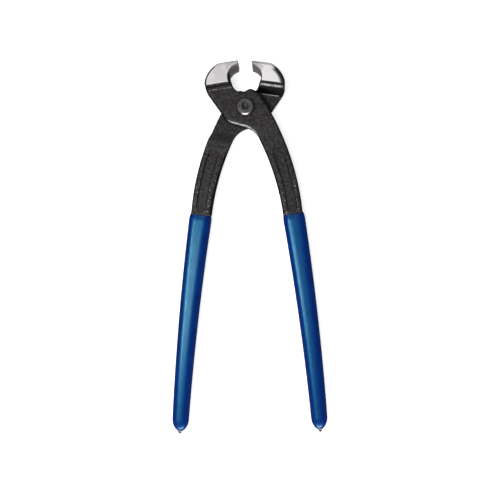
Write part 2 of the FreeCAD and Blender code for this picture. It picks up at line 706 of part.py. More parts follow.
fill_sheet()
rivet = make_rivet("pivot_rivet")
place(rivet, -size("opening_angle") / 2, False)
bodies = [rivet]
for end, turn, back_to_front, bore in (
    ("front", size("opening_angle") / 2, False, "Sizes.shank_radius + Sizes.shank_clearance"),
    ("rear", -size("opening_angle") / 2, True, "Sizes.shank_radius"),
):
    pieces = [
        make_lever(f"{end}_lever", bore),
        make_tip(f"{end}_carbide_tip"),
        make_braze(f"{end}_tip_braze"),
        make_grip(f"{end}_grip"),
    ]
    for piece in pieces:
        place(piece, turn, back_to_front)
    bodies += pieces
check_and_write(bodies)
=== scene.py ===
"""Looks of the tile nippers: steel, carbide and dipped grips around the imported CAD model.

Lengths are metres in the model's own frame: +Y to the jaws, +Z up, the pivot over the origin's Y line.
A lever's own frame has the pivot at its origin and the jaw closed, as in the CAD source.
"""
import json
import math

import bmesh
import bpy
from mathutils import Matrix, Vector, noise


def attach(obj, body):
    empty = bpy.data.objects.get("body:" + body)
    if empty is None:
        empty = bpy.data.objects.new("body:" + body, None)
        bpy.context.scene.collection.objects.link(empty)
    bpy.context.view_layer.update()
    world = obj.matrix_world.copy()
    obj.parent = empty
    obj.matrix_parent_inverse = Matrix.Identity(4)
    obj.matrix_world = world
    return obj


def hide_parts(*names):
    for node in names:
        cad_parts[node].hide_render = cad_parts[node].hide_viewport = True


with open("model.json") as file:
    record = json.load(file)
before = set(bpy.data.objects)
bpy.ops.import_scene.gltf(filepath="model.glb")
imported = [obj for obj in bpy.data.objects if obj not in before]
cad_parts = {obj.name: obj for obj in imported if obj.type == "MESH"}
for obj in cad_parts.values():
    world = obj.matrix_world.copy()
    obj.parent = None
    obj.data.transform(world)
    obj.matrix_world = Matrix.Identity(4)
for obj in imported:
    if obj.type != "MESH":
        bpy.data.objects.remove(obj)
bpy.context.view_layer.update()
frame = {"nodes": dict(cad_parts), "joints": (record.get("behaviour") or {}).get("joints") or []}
MM = 0.001
PIVOT = Vector(frame["joints"][0]["pos_m"])
OPENING = math.radians(16.4)

# grip: full sizes at the mouth and at the end of the taper
ARM_LENGTH = 68.5 * MM
TAPER_END = 196.0 * MM
HANDLE_OUT = 19.05 * MM
BOW_DROP = 80.9 * MM
BOW_RADIUS = 1700.0 * MM
GRIP_WIDTH = (13.69 * MM, 10.18 * MM)
GRIP_DEPTH = (12.7 * MM, 9.6 * MM)
GRIP_POWER = (3.5, 2.4)
TANG_WIDTH = (11.9 * MM, 8.0 * MM)
TANG_DEPTH = (10.9 * MM, 7.8 * MM)
TANG_POWER = (7.0, 3.0)
NOSE_LENGTH = 6.4 * MM
SHOULDER_LENGTH = 3.5 * MM
SHOULDER_DROP = 0.45 * MM
MOUTH_LIP = 0.38 * MM
MOUTH_DIP = 0.9 * MM
GRIP_AROUND = 96
LIP_STEPS = 8
SLEEVE_STEPS = 120
NOSE_PROFILE = (
    (0.15, 0.985), (0.3, 0.95), (0.45, 0.895), (0.6, 0.82), (0.75, 0.72),
    (0.88, 0.60), (0.96, 0.50), (1.0, 0.43), (0.99, 0.38),
)
NOSE_HOLE = 0.46
POINT_RING = -203.0 * MM

# head and arms
HEAD_HALF = 10.0 * MM
THROAT_RADIUS = 8.0 * MM
THROAT_HEIGHT = 18.0 * MM
CROWN_HEIGHT = 28.0 * MM
GROUND_FOOT = 14.7 * MM
GROUND_BACK_FOOT = 16.6 * MM
STEP_RADIUS = 1.6 * MM
SHELF_FOOT = 14.2 * MM
SHOULDER_FOOT = 10.2 * MM
JAW_TOP_RADIUS = 18.1 * MM
JAW_SIDE_RADIUS = 9.7 * MM
JAW_SIDE_ANGLE = math.radians(149.1)
JAW_SIDE_CENTRE = Vector((-12.66, 15.59, 0)) * MM
ARM_HALF = 5.5 * MM
PANEL = (-64.8 * MM, -30.2 * MM)
PANEL_HALF = 3.2 * MM
ARM_CENTRE = Vector((-137.52, -63.43, 0)) * MM
ARM_RADIUS = 156.35 * MM
RIVET_RADIUS = 5.4 * MM
RIVET_RIM_RADIUS = 4.8 * MM
DIMPLE_RADIUS = 2.2 * MM
EDGE_ROUNDING = 0.5 * MM
THIN_SKIN = 0.02 * MM
ROLL_DEPTH = 7.5 * MM

# colours
# painted shade on slopes and along panel walls
SHADE_PITCH_BLACK = (0.001, 0.001, 0.001)
# painted shade on steep walls and round the rivet
WALL_SHADE_BLACK = (0.002, 0.002, 0.002)
# painted shade in corners
CORNER_SHADE_BLACK = (0.0013, 0.0013, 0.0013)
SCALE_DARK = (0.0026, 0.0013, 0.0026)
SCALE_LIGHT = (0.0832, 0.078, 0.0793)
SCALE_GREEN = (0.0117, 0.0221, 0.0182)
SCALE_RED = (0.0338, 0.0169, 0.0221)
# painted highlight on the lap's end
LAP_HIGHLIGHT_GREY = (0.12, 0.115, 0.115)
# wear on edges and painted highlights
WORN_AND_GLINT_STEEL = (0.62, 0.60, 0.59)
GROUND_DULL = (0.56, 0.535, 0.54)
GROUND_CLEAN = (0.68, 0.65, 0.655)
GROUND_STREAK = (0.76, 0.73, 0.735)
# painted glare on the other side's ground steel
GROUND_GLARE_PALE = (0.93, 0.90, 0.905)
GROUND_SHADED = (0.38, 0.39, 0.38)
CARBIDE_SIDE = (0.42, 0.43, 0.42)
CARBIDE_DARK = (0.26, 0.255, 0.245)
CARBIDE_LIGHT = (0.37, 0.36, 0.35)
CARBIDE_GRIND = (0.42, 0.41, 0.40)
CARBIDE_LINE = (0.02, 0.018, 0.018)
BRAZE_DARK = (0.34, 0.31, 0.26)
BRAZE_LIGHT = (0.50, 0.46, 0.38)
RIVET_RING = (0.13, 0.123, 0.125)
RIVET_RIM = (0.17, 0.163, 0.165)
VINYL_DEEP = (0.0, 0.015, 0.165)
VINYL_MID = (0.0, 0.022, 0.200)
VINYL_SMUDGE = (0.0, 0.012, 0.220)
VINYL_SHEEN = (0.12, 0.85, 1.0, 1.0)
FLOOR_DARK = (0.93, 0.93, 0.93)
FLOOR_LIGHT = (0.95, 0.95, 0.95)

# camera
CAMERA_FOOT = Vector((19.4, -87.7, 0)) * MM
CAMERA_HEIGHT = 416 * MM
VIEW_WIDTH = 310 * MM
CAMERA_ROLL = math.radians(-0.77)
SHIFT_RIGHT = -0.058
SENSOR_WIDTH = 36.0

# studio
TENT_HORIZON = 0.03
TENT_TOP = 0.16
KEY_PLACE = (-0.27, -0.10, 0.95)
KEY_SIZE = (0.46, 0.24)
KEY_POWER = 3.6
STREAK_PLACE = (-0.46, -0.08, 0.95)
STREAK_SIZE = (0.05, 0.36)
STREAK_POWER = 2.8
JAW_LIGHT_PLACE = (-0.04, 0.36, 0.95)
JAW_LIGHT_SIZE = (0.45, 0.22)
JAW_LIGHT_POWER = 0.45
STRIP_PLACE = (0.0, -1.15, 0.25)
STRIP_SIZE = (0.9, 0.2)
STRIP_POWER = 10.0
TENT_FADE = 0.85
FLOOR_SIZE = 6.0
ORIGIN = (0, 0, 0)


def lever_matrix(front):
    """From a lever's own closed frame to the model's frame."""
    turn = Matrix.Rotation(OPENING / 2 if front else -OPENING / 2, 4, "Z")
    over = Matrix.Identity(4) if front else Matrix.Rotation(math.pi, 4, "Y")
    return Matrix.Translation(PIVOT) @ turn @ over


# ---------------------------------------------------------------- node helpers

class Graph:
    """Small helper around one material's node tree."""

    def __init__(self, name):
        self.material = bpy.data.materials.new(name)
        self.material.use_nodes = True
        self.tree = self.material.node_tree
        self.shader = self.tree.nodes["Principled BSDF"]
        self.place = self.node("TexCoord").outputs["Object"]

    def node(self, kind):
        return self.tree.nodes.new("ShaderNode" + kind)

    def link(self, source, target):
        self.tree.links.new(source, target)

    def fill(self, socket, value):
        """Link or set a socket, whichever the value is."""
        if isinstance(value, bpy.types.NodeSocket):
            self.link(value, socket)
        elif value is not None:
            socket.default_value = value

    def math(self, operation, first, second=None, clamp=False):
        node = self.node("Math")
        node.operation = operation
        node.use_clamp = clamp
        for socket, value in zip(node.inputs, (first, second)):
            self.fill(socket, value)
        return node.outputs[0]

    def vector_math(self, operation, first, second=None):
        node = self.node("VectorMath")
        node.operation = operation
        self.fill(node.inputs[0], first)
        if second is not None:
            self.fill(node.inputs[1], second)
        return node.outputs["Value" if operation in ("LENGTH", "DOT_PRODUCT") else "Vector"]

    def mapping(self, vector, location=(0, 0, 0), rotation=(0, 0, 0), scale=(1, 1, 1)):
        node = self.node("Mapping")
        self.link(vector, node.inputs["Vector"])
        node.inputs["Location"].default_value = location
        node.inputs["Rotation"].default_value = rotation
        node.inputs["Scale"].default_value = scale
        return node.outputs[0]

    def split(self, vector):
        node = self.node("SeparateXYZ")
        self.link(vector, node.inputs[0])
        return node.outputs

    def noise(self, vector, size, detail=3.0, roughness=0.55):
        """Noise whose features are about size metres."""
        node = self.node("TexNoise")
        self.link(vector, node.inputs["Vector"])
        node.inputs["Scale"].default_value = 1 / size
        node.inputs["Detail"].default_value = detail
        node.inputs["Roughness"].default_value = roughness
        return node.outputs["Fac"]

    def ramp(self, value, low, high, bottom=0.0, top=1.0, smooth=True):
        """Maps low..high to bottom..top."""
        node = self.node("MapRange")
        node.interpolation_type = "SMOOTHSTEP" if smooth else "LINEAR"
        self.fill(node.inputs["Value"], value)
        node.inputs["From Min"].default_value = low
        node.inputs["From Max"].default_value = high
        node.inputs["To Min"].default_value = bottom
        node.inputs["To Max"].default_value = top
        return node.outputs["Result"]

    def mix(self, share, first, second):
        """Mix of two colours."""
        node = self.node("Mix")
        node.data_type = "RGBA"
        self.fill(node.inputs["Factor"], share)
        for socket, value in ((node.inputs["A"], first), (node.inputs["B"], second)):
            self.fill(socket, (*value, 1.0) if isinstance(value, tuple) and len(value) == 3 else value)
        return node.outputs["Result"]

    def blend(self, share, first, second):
        """Mix of two numbers."""
        node = self.node("Mix")
        self.fill(node.inputs["Factor"], share)
        self.fill(node.inputs["A"], first)
        self.fill(node.inputs["B"], second)
        return node.outputs["Result"]

    def bump(self, height, distance, strength=1.0, before=None):
        node = self.node("Bump")
        self.fill(node.inputs["Height"], height)
        self.fill(node.inputs["Strength"], strength)
        node.inputs["Distance"].default_value = distance
        if before is not None:
            self.link(before, node.inputs["Normal"])
        return node.outputs["Normal"]

    def product(self, *factors):
        """All the factors multiplied together, from the first on."""
        total = factors[0]
        for factor in factors[1:]:
            total = self.math("MULTIPLY", total, factor)
        return total

    def highest(self, *values, clamp=False):
        """The largest of the values, the last comparison clamped if clamp is set."""
        top = values[0]
        for value in values[1:-1]:
            top = self.math("MAXIMUM", top, value)
        return self.math("MAXIMUM", top, values[-1], clamp=clamp)

    def true_normal(self):
        return self.node("NewGeometry").outputs["True Normal"]

    def rounded(self, radius):
        """Normal of the surface with its edges rounded, and how far it turns away from the true one."""
        bevel = self.node("Bevel")
        bevel.samples = 8
        self.fill(bevel.inputs["Radius"], radius)
        agreement = self.vector_math("DOT_PRODUCT", bevel.outputs[0], self.true_normal())
        return bevel.outputs[0], self.ramp(agreement, 0.995, 0.9)

    def upright(self):
        """How nearly the surface faces straight up or straight down."""
        return self.math("ABSOLUTE", self.split(self.true_normal())[2])

    def facing_handles(self, least, full):
        """Rises from nothing to one as the surface turns from least to full towards the handles' side."""
        return self.ramp(self.split(self.true_normal())[1], -least, -full)

    def openness(self, reach):
        """Low in corners and grooves, high where nothing is near."""
        node = self.node("AmbientOcclusion")
        node.samples = 8
        node.inputs["Distance"].default_value = reach
        return node.outputs["AO"]

    def output(self, **sockets):
        """Fill the shader's sockets, named with underscores for spaces, and give the material."""
        for name, value in sockets.items():
            self.fill(self.shader.inputs[name.replace("_", " ")], value)
        return self.material


def lever_coordinates(graph, front):
    """The surface point in the lever's own closed frame."""
    matrix = lever_matrix(front).inverted()
    return graph.mapping(graph.place, tuple(matrix.translation), tuple(matrix.to_euler("XYZ")))


# ---------------------------------------------------------------- materials

def black_skin(graph, place, reach):
    """Speckled black forging skin with painted shade darkening its corners: its colour, roughness and the
    height of its grain.
    """
    grain = graph.noise(place, 1.5 * MM, 4.0, 0.7)
    fine = graph.noise(place, 0.6 * MM, 3.0, 0.6)
    warm = graph.noise(place, 2.4 * MM, 2.0)
    speckle = graph.math("ADD", graph.product(grain, 0.6), graph.product(fine, 0.4))
    colour = graph.mix(graph.ramp(speckle, 0.41, 0.61), SCALE_DARK, SCALE_LIGHT)
    tint = graph.mix(graph.ramp(warm, 0.44, 0.56), SCALE_GREEN, SCALE_RED)
    colour = graph.mix(0.4, colour, tint)
    # painted shade: corners and grooves found by ambient occlusion turned near black
    corner_shade = graph.ramp(graph.openness(reach), 0.35, 0.97, 0.95, 0.0)
    colour = graph.mix(corner_shade, colour, CORNER_SHADE_BLACK)
    return colour, graph.ramp(speckle, 0.35, 0.7, 0.38, 0.62), speckle


def ground_finish(graph, place):
    """Bright ground steel: its colour and the pattern of its fine scratches."""
    turned = graph.mapping(place, rotation=(0, 0, math.radians(24)), scale=(1.0, 0.05, 1.0))
    streaks = graph.noise(turned, 0.11 * MM, 4.0, 0.7)
    cloud = graph.noise(place, 6.0 * MM, 2.0)
    colour = graph.mix(graph.ramp(cloud, 0.35, 0.65), GROUND_DULL, GROUND_CLEAN)
    colour = graph.mix(graph.ramp(streaks, 0.3, 0.8, 0.0, 0.6), colour, GROUND_STREAK)
    return colour, streaks


def from_point(graph, place, point):
    """Distance in plan from a point of the lever's own frame."""
    offset = graph.vector_math("SUBTRACT", place, tuple(point))
    return in_plan(graph, offset)


def in_plan(graph, offset):
    """Length of an offset seen from above."""
    return graph.vector_math("LENGTH", graph.vector_math("MULTIPLY", offset, (1.0, 1.0, 0.0)))


def inside_jaw_back(graph, place):
    """Distance in plan from the two arcs of the jaw's back, inwards."""
    joint = Vector((math.cos(JAW_SIDE_ANGLE), math.sin(JAW_SIDE_ANGLE), 0))
    top_centre = JAW_SIDE_CENTRE - joint * (JAW_TOP_RADIUS - JAW_SIDE_RADIUS)
    from_top = graph.math("SUBTRACT", JAW_TOP_RADIUS, from_point(graph, place, top_centre))
    from_side = graph.math("SUBTRACT", JAW_SIDE_RADIUS, from_point(graph, place, JAW_SIDE_CENTRE))
    offset = graph.vector_math("SUBTRACT", place, tuple(JAW_SIDE_CENTRE))
    onward = graph.vector_math("DOT_PRODUCT", offset, (-joint.y, joint.x, 0.0))
    return graph.blend(graph.math("GREATER_THAN", onward, 0.0), from_top, from_side)


def band(graph, value, middle, half):
    """High within half of middle."""
    return graph.ramp(graph.math("ABSOLUTE", graph.math("SUBTRACT", value, middle)), half, half * 0.5)


def plate_side_share(graph, place, inwards):
    """Ground part of the plate's side: a thin dark rim at the back, a rounded corner by the throat."""
    y = graph.split(place)[1]
    throat = from_point(graph, place, (0.0, THROAT_HEIGHT, 0.0))
    near_hollow = graph.ramp(throat, THROAT_RADIUS, THROAT_RADIUS + 1.5 * MM, 1.0, 0.0, smooth=False)
    near_foot = graph.ramp(y, GROUND_FOOT + 0.2 * MM, GROUND_FOOT + 1.7 * MM, 1.0, 0.0, smooth=False)
    squares = graph.math("ADD", graph.product(near_hollow, near_hollow), graph.product(near_foot, near_foot))
    corner = graph.math("SQRT", squares)
    return graph.product(graph.ramp(inwards, 0.9 * MM, 1.3 * MM), graph.ramp(corner, 1.05, 0.9))


def other_side_share(graph, inwards, low):
    """Ground part of the other side: a broad dark rim of painted shade that starts at the crown's corner."""
    reach = graph.ramp(low, 0.0, 1.0, -1.5 * MM, 2.0 * MM)
    return graph.ramp(graph.math("SUBTRACT", inwards, reach), 0.0, 2.0 * MM)


def ground_sides(graph, place, front_side):
    """High on the ground sides, the crown and the roll-over between them, and high on the roll-over alone."""
    y, z = graph.split(place)[1:]
    depth = graph.math("ABSOLUTE", z)
    ragged = graph.product(graph.noise(place, 0.8 * MM), 0.03 * MM)
    flat = graph.ramp(graph.math("ADD", depth, ragged), HEAD_HALF - 0.03 * MM, HEAD_HALF + 0.005 * MM)
    inwards = inside_jaw_back(graph, place)
    low = graph.ramp(y, CROWN_HEIGHT - 1.0 * MM, CROWN_HEIGHT - 5.0 * MM)
    front_share = plate_side_share(graph, place, inwards)
    back_share = other_side_share(graph, inwards, low)
    flat = graph.product(flat, graph.blend(front_side, back_share, front_share))
    rolled = graph.product(graph.ramp(low, 0.35, 0.0), graph.ramp(depth, ROLL_DEPTH, ROLL_DEPTH + 0.3 * MM))
    return graph.highest(flat, graph.highest(on_crown(graph, y), rolled)), rolled


def on_crown(graph, y):
    """High on the flat ground crown of the jaw."""
    return graph.ramp(y, CROWN_HEIGHT - 3 * THIN_SKIN, CROWN_HEIGHT - THIN_SKIN)


def walls_shaded_lap_lit(graph, place, black):
    """The skin with painted shade making its steep walls nearly black, and a painted highlight making the
    lap's end paler.
    """
    y, z = graph.split(place)[1:]
    lit_lap_end = graph.product(band(graph, y, -22 * MM, 9 * MM), graph.ramp(z, 0.0, -0.1 * MM))
    # painted shade: steep walls nearly black, except at the lap's end
    steep = graph.ramp(graph.upright(), 0.5, 0.97, 0.9, 0.0)
    steep = graph.product(steep, graph.math("SUBTRACT", 1.0, lit_lap_end))
    black = graph.mix(steep, black, WALL_SHADE_BLACK)
    # painted highlight: the lap's end made paler
    return graph.mix(graph.product(lit_lap_end, 0.22), black, LAP_HIGHLIGHT_GREY)


def arm_wear_and_sparkle(graph, place, edges, patches):
    """Wear on the edges, strongest on the arm, and painted sparkle highlights: bright flecks on the arm's
    rim.
    """
    y, z = graph.split(place)[1:]
    depth = graph.math("ABSOLUTE", z)
    on_arm = graph.ramp(y, -38 * MM, -52 * MM)
    wear_share = graph.math("ADD", graph.product(on_arm, 0.5), 0.2)
    bright_marks = graph.product(edges, graph.product(patches, wear_share))
    on_rim = graph.product(on_arm, graph.ramp(depth, ARM_HALF - 0.1 * MM, ARM_HALF - THIN_SKIN))
    # painted highlight: sparkles on the arm's rim
    flecks = graph.ramp(graph.noise(place, 1.1 * MM, 3.0), 0.60, 0.68, 0.0, 0.5)
    return graph.highest(bright_marks, graph.product(flecks, on_rim))


def lower_edge_highlight(graph, place, patches):
    """Painted highlight: a bright line along the plate's lower edge."""
    y, z = graph.split(place)[1:]
    along = graph.product(graph.ramp(y, -5 * MM, -8 * MM), graph.ramp(y, -26 * MM, -13 * MM))
    line = graph.product(along, graph.facing_handles(0.45, 0.7), graph.ramp(z, 3.6 * MM, 4.8 * MM))
    return graph.product(line, graph.math("ADD", patches, 0.4, clamp=True))


def step_highlights(graph, place, front_side, patches):
    """Painted highlights: bright lines across the jaw, at the foot of the ground side and of the slope below
    it.
    """
    y = graph.split(place)[1]
    front_line = band(graph, y, GROUND_FOOT - STEP_RADIUS, 0.4 * MM)
    front_line = graph.product(front_line, graph.product(patches, 0.35))
    shelf_line = graph.product(band(graph, y, GROUND_BACK_FOOT - STEP_RADIUS, 0.75 * MM), 0.9)
    shelf_line = graph.product(shelf_line, graph.math("ADD", patches, 0.45, clamp=True))
    shoulder_line = graph.product(band(graph, y, SHOULDER_FOOT - 0.1 * MM, 0.7 * MM), 0.85)
    lines = graph.blend(front_side, graph.highest(shelf_line, shoulder_line), front_line)
    return graph.product(lines, graph.ramp(inside_jaw_back(graph, place), 1.2 * MM, 1.8 * MM))


def slope_shade(graph, place):
    """Painted shade: high on the slope between the shelf and the shoulder, on the other side."""
    y, z = graph.split(place)[1:]
    middle = (SHELF_FOOT + SHOULDER_FOOT) / 2
    slope = graph.product(band(graph, y, middle, 2.6 * MM), graph.ramp(z, 0.5 * MM, 0.0))
    return graph.product(slope, 0.9)


def panel_wall_shade(graph, place):
    """Painted shade: high along the two long walls of the arm's panel."""
    y = graph.split(place)[1]
    distance = graph.math("SUBTRACT", from_point(graph, place, ARM_CENTRE), ARM_RADIUS)
    foot, head = PANEL
    along = graph.product(graph.ramp(y, head, head - MM), graph.ramp(y, foot - MM, foot))
    wall = band(graph, graph.math("ABSOLUTE", distance), PANEL_HALF - 0.3 * MM, 0.55 * MM)
    return graph.product(graph.product(wall, along), 0.9)


def skin_relief(graph, place, speckle, rounded_normal):
    """Normal of the black skin, with coarser pits on the panel's floor."""
    y, z = graph.split(place)[1:]
    depth = graph.math("ABSOLUTE", z)
    relief = graph.bump(speckle, 0.20 * MM, 0.8, rounded_normal)
    below_rim = graph.ramp(depth, ARM_HALF - 0.4 * MM, ARM_HALF - 0.8 * MM)
    panel = graph.product(graph.ramp(y, *PANEL), below_rim)
    pits = graph.product(graph.noise(place, 1.7 * MM, 3.0, 0.6), panel)
    return graph.bump(pits, 0.7 * MM, 0.8, relief)


def forged_steel(front):
    """Black forged skin with wear on its edges, painted shade in its corners, on its steep walls, slope and
    panel walls, painted highlights on its edges, steps and point, and bright ground jaw sides with painted
    glare on the other side.
    """
    graph = Graph(f"{'front' if front else 'rear'}_forged_steel")
    place = lever_coordinates(graph, front)
    x, y, z = graph.split(place)
    front_side = graph.math("GREATER_THAN", z, 0.0)
    rounded_normal, edges = graph.rounded(EDGE_ROUNDING)
    black, skin_rough, speckle = black_skin(graph, place, 1.3 * MM)
    black = walls_shaded_lap_lit(graph, place, black)

    patches = graph.ramp(graph.noise(place, 1.3 * MM, 3.0), 0.42, 0.58)
    # wear on the edges together with painted highlights: sparkles on the arm's rim, a line on the plate's
    # lower edge, a ring at the point and lines at the jaw's steps
    bright_marks = graph.highest(
        arm_wear_and_sparkle(graph, place, edges, patches),
        lower_edge_highlight(graph, place, patches),
        # painted highlight: a light ring where the steel's point leaves the grip
        graph.product(band(graph, y, POINT_RING, 0.7 * MM), 0.35),
        step_highlights(graph, place, front_side, patches),
        clamp=True,
    )
    # painted shade on the slope below the shelf
    black = graph.mix(slope_shade(graph, place), black, SHADE_PITCH_BLACK)
    black = graph.mix(bright_marks, black, WORN_AND_GLINT_STEEL)
    # painted shade along the panel's walls
    black = graph.mix(panel_wall_shade(graph, place), black, SHADE_PITCH_BLACK)

    bright, streaks = ground_finish(graph, place)
    ground, rolled = ground_sides(graph, place, front_side)
    # painted glare: the other side's ground steel made paler
    bright = graph.mix(graph.blend(front_side, 0.7, 0.0), bright, GROUND_GLARE_PALE)
    near_edge = graph.ramp(x, -9.0 * MM, -2.0 * MM)
    bright = graph.mix(graph.product(near_edge, 0.35), bright, GROUND_SHADED)
    scratches = graph.bump(streaks, 0.012 * MM, 0.6)
    return graph.output(
        Base_Color=graph.mix(ground, black, bright),
        Metallic=graph.blend(ground, graph.product(bright_marks, 0.4), graph.ramp(rolled, 0.0, 1.0, 1.0, 0.35)),
        Roughness=graph.blend(ground, skin_rough, graph.ramp(streaks, 0.3, 0.7, 0.30, 0.42)),
        Specular_IOR_Level=0.15,
        Normal=graph.mix(ground, skin_relief(graph, place, speckle, rounded_normal), scratches),
    )


def hollow_grey(graph, place, depth):
    """Grey of the carbide's hollow, with a dark line at each end: its colour and its grinding marks."""
    cloud = graph.noise(place, 2.0 * MM, 3.0)
    grind = graph.noise(graph.mapping(place, scale=(1.0, 1.0, 0.06)), 0.14 * MM, 4.0, 0.7)
    grey = graph.mix(graph.ramp(cloud, 0.35, 0.7), CARBIDE_DARK, CARBIDE_LIGHT)
    grey = graph.mix(graph.ramp(grind, 0.35, 0.75, 0.0, 0.5), grey, CARBIDE_GRIND)
    end_line = graph.ramp(depth, HEAD_HALF - 0.9 * MM, HEAD_HALF - 0.5 * MM, 0.0, 0.85)
    return graph.mix(end_line, grey, CARBIDE_LINE), grind


def carbide(front):
    """Ground carbide: its sides, crown and roll-over are finished with the jaw's, its hollow is grey."""
    graph = Graph(f"{'front' if front else 'rear'}_carbide")
    place = lever_coordinates(graph, front)
    x, y, z = graph.split(place)
    depth = graph.math("ABSOLUTE", z)
    side = graph.ramp(depth, HEAD_HALF - 3 * THIN_SKIN, HEAD_HALF - THIN_SKIN)
    hollow_top = THROAT_HEIGHT + THROAT_RADIUS
    above_hollow = graph.ramp(y, hollow_top, hollow_top + 0.1 * MM)
    rolled = graph.product(above_hollow, graph.ramp(depth, HEAD_HALF - 1.9 * MM, HEAD_HALF - 1.7 * MM))
    rolled = graph.product(rolled, graph.math("SUBTRACT", 1.0, side))
    ground = graph.highest(rolled, graph.highest(side, on_crown(graph, y)))
    bright, streaks = ground_finish(graph, place)
    bright = graph.mix(graph.ramp(x, -9.0 * MM, 0.0, 0.0, 0.5), bright, CARBIDE_SIDE)
    grey, grind = hollow_grey(graph, place, depth)
    return graph.output(
        Base_Color=graph.mix(ground, grey, bright),
        Metallic=graph.blend(graph.math("SUBTRACT", ground, rolled), 0.2, 1.0),
        Roughness=graph.ramp(streaks, 0.3, 0.7, 0.30, 0.42),
        Normal=graph.bump(graph.blend(side, grind, streaks), 0.012 * MM, 0.6),
    )


def braze_alloy():
    """Thin line of dull brazing alloy."""
    graph = Graph("brazing_alloy")
    cloud = graph.noise(graph.place, 0.6 * MM, 3.0)
    return graph.output(
        Base_Color=graph.mix(graph.ramp(cloud, 0.35, 0.7), BRAZE_DARK, BRAZE_LIGHT),
        Metallic=0.85,
        Roughness=graph.ramp(cloud, 0.2, 0.8, 0.4, 0.6),
        Normal=graph.bump(cloud, 0.03 * MM, 0.6),
    )


def rivet_steel():
    """Dark turned rivet: rings from the lathe, a lighter rim with wear on its edges, a painted highlight on
    the rim's side towards the handles, and painted shade in the dimple and in the groove at its foot.
    """
    graph = Graph("rivet_steel_turned")
    place = graph.mapping(graph.place, tuple(-PIVOT))
    radius = in_plan(graph, place)
    rings = graph.math("SINE", graph.product(radius, 2 * math.pi / (0.9 * MM)))
    rounded_normal, edges = graph.rounded(0.35 * MM)
    colour, rough, speckle = black_skin(graph, place, 0.7 * MM)
    colour = graph.mix(graph.ramp(rings, -0.4, 1.0, 0.0, 0.4), colour, RIVET_RING)
    rim = graph.product(band(graph, radius, RIVET_RADIUS - 0.8 * MM, 0.7 * MM), 0.6)
    colour = graph.mix(rim, colour, RIVET_RIM)
    # painted shade: the groove at the head's foot and a ring in the dimple turned near black
    groove_shade = graph.ramp(radius, RIVET_RADIUS - 0.45 * MM, RIVET_RADIUS - 0.2 * MM, 0.0, 0.95)
    dimple = graph.product(band(graph, radius, DIMPLE_RADIUS - 0.3 * MM, 0.6 * MM), 0.85)
    colour = graph.mix(graph.highest(groove_shade, dimple), colour, WALL_SHADE_BLACK)
    bright_marks = graph.product(edges, graph.ramp(graph.noise(place, 2.0 * MM, 3.0), 0.35, 0.6, 0.0, 0.3))
    # painted highlight: a crescent of the rim on the side towards the handles, mixed with wear on the edges
    on_rim = band(graph, radius, RIVET_RIM_RADIUS, 0.5 * MM)
    rim_highlight = graph.product(graph.facing_handles(0.6, 0.69), on_rim)
    colour = graph.mix(graph.highest(bright_marks, rim_highlight), colour, WORN_AND_GLINT_STEEL)
    relief = graph.bump(speckle, 0.14 * MM, 0.7, rounded_normal)
    return graph.output(
        Base_Color=colour,
        Metallic=graph.product(rim, 0.6),
        Roughness=graph.ramp(rough, 0.36, 0.6, 0.26, 0.42),
        Specular_IOR_Level=0.5,
        Normal=graph.bump(rings, 0.03 * MM, 0.5, relief),
    )


def grip_vinyl(front):
    """Semi-gloss blue vinyl with faint sags and an orange-peel skin, smudged so that its sheen is uneven."""
    graph = Graph(f"{'front' if front else 'rear'}_vinyl")
    place = lever_coordinates(graph, front)
    peel = graph.noise(place, 1.1 * MM, 2.0)
    sag = graph.noise(graph.mapping(place, scale=(1.0, 0.16, 1.0)), 5.0 * MM, 2.0)
    cloud = graph.noise(place, 9.0 * MM, 3.0)
    smudge = graph.noise(place, 2.2 * MM, 4.0, 0.65)
    colour = graph.mix(graph.ramp(cloud, 0.35, 0.7), VINYL_DEEP, VINYL_MID)
    return graph.output(
        Base_Color=graph.mix(graph.ramp(smudge, 0.4, 0.7, 0.0, 0.5), colour, VINYL_SMUDGE),
        Roughness=graph.ramp(smudge, 0.3, 0.7, 0.32, 0.42),
        Specular_Tint=VINYL_SHEEN,
        Specular_IOR_Level=0.65,
        Coat_Weight=0.12,
        Coat_Roughness=0.15,
        Normal=graph.bump(sag, 0.3 * MM, 0.3, graph.bump(peel, 0.03 * MM, 0.4)),
    )


def pale_floor():
    """Nearly white floor that glows a little, so that only soft shadows show."""
    graph = Graph("pale_floor")
    return graph.output(
        Base_Color=graph.mix(graph.noise(graph.place, 0.4, 2.0), FLOOR_DARK, FLOOR_LIGHT),
        Roughness=0.7,
        Specular_IOR_Level=0.2,
        Emission_Color=(1, 1, 1, 1),
        Emission_Strength=0.75,
    )


# ---------------------------------------------------------------- grips

def centre_out(drop):
    """How far the handle's centre line is from the tool's axis, in the closed lever's frame."""
    return HANDLE_OUT - (drop - BOW_DROP) ** 2 / (2 * BOW_RADIUS)


def between(pair, share):
    """Value at a share of the way from the mouth to the end."""
    return pair[0] + (pair[1] - pair[0]) * share


def section_point(width, depth, power, angle):
    """Point of a softly squared oval, met from its centre in the direction of angle."""
    direction = Vector((math.cos(angle), math.sin(angle)))
    sides = abs(2 * direction.x / width) ** power + abs(2 * direction.y / depth) ** power
    return direction * sides ** (-1 / power)


def grip_ring(drop, sizes, scale=1.0, inset=0.0, wobble=0.0, dip=0.0):
    """One ring of the sleeve, as points in the closed lever's frame; dip lowers it over the arm's panels."""
    share = min(max((drop - ARM_LENGTH) / (TAPER_END - ARM_LENGTH), 0.0), 1.0)
    width, depth, power = (between(pair, share) for pair in sizes)
    ring = []
    for index in range(GRIP_AROUND):
        angle = 2 * math.pi * index / GRIP_AROUND
        flat = section_point(width * scale - 2 * inset, depth * scale - 2 * inset, power, angle)
        flat *= 1 - wobble * abs(noise.noise(Vector((math.cos(angle) * 2, math.sin(angle) * 2, drop * 400))))
        lowered = drop + dip * abs(math.sin(angle)) ** 6
        ring.append(Vector((centre_out(drop) + flat.x, -lowered, flat.y)))
    return ring


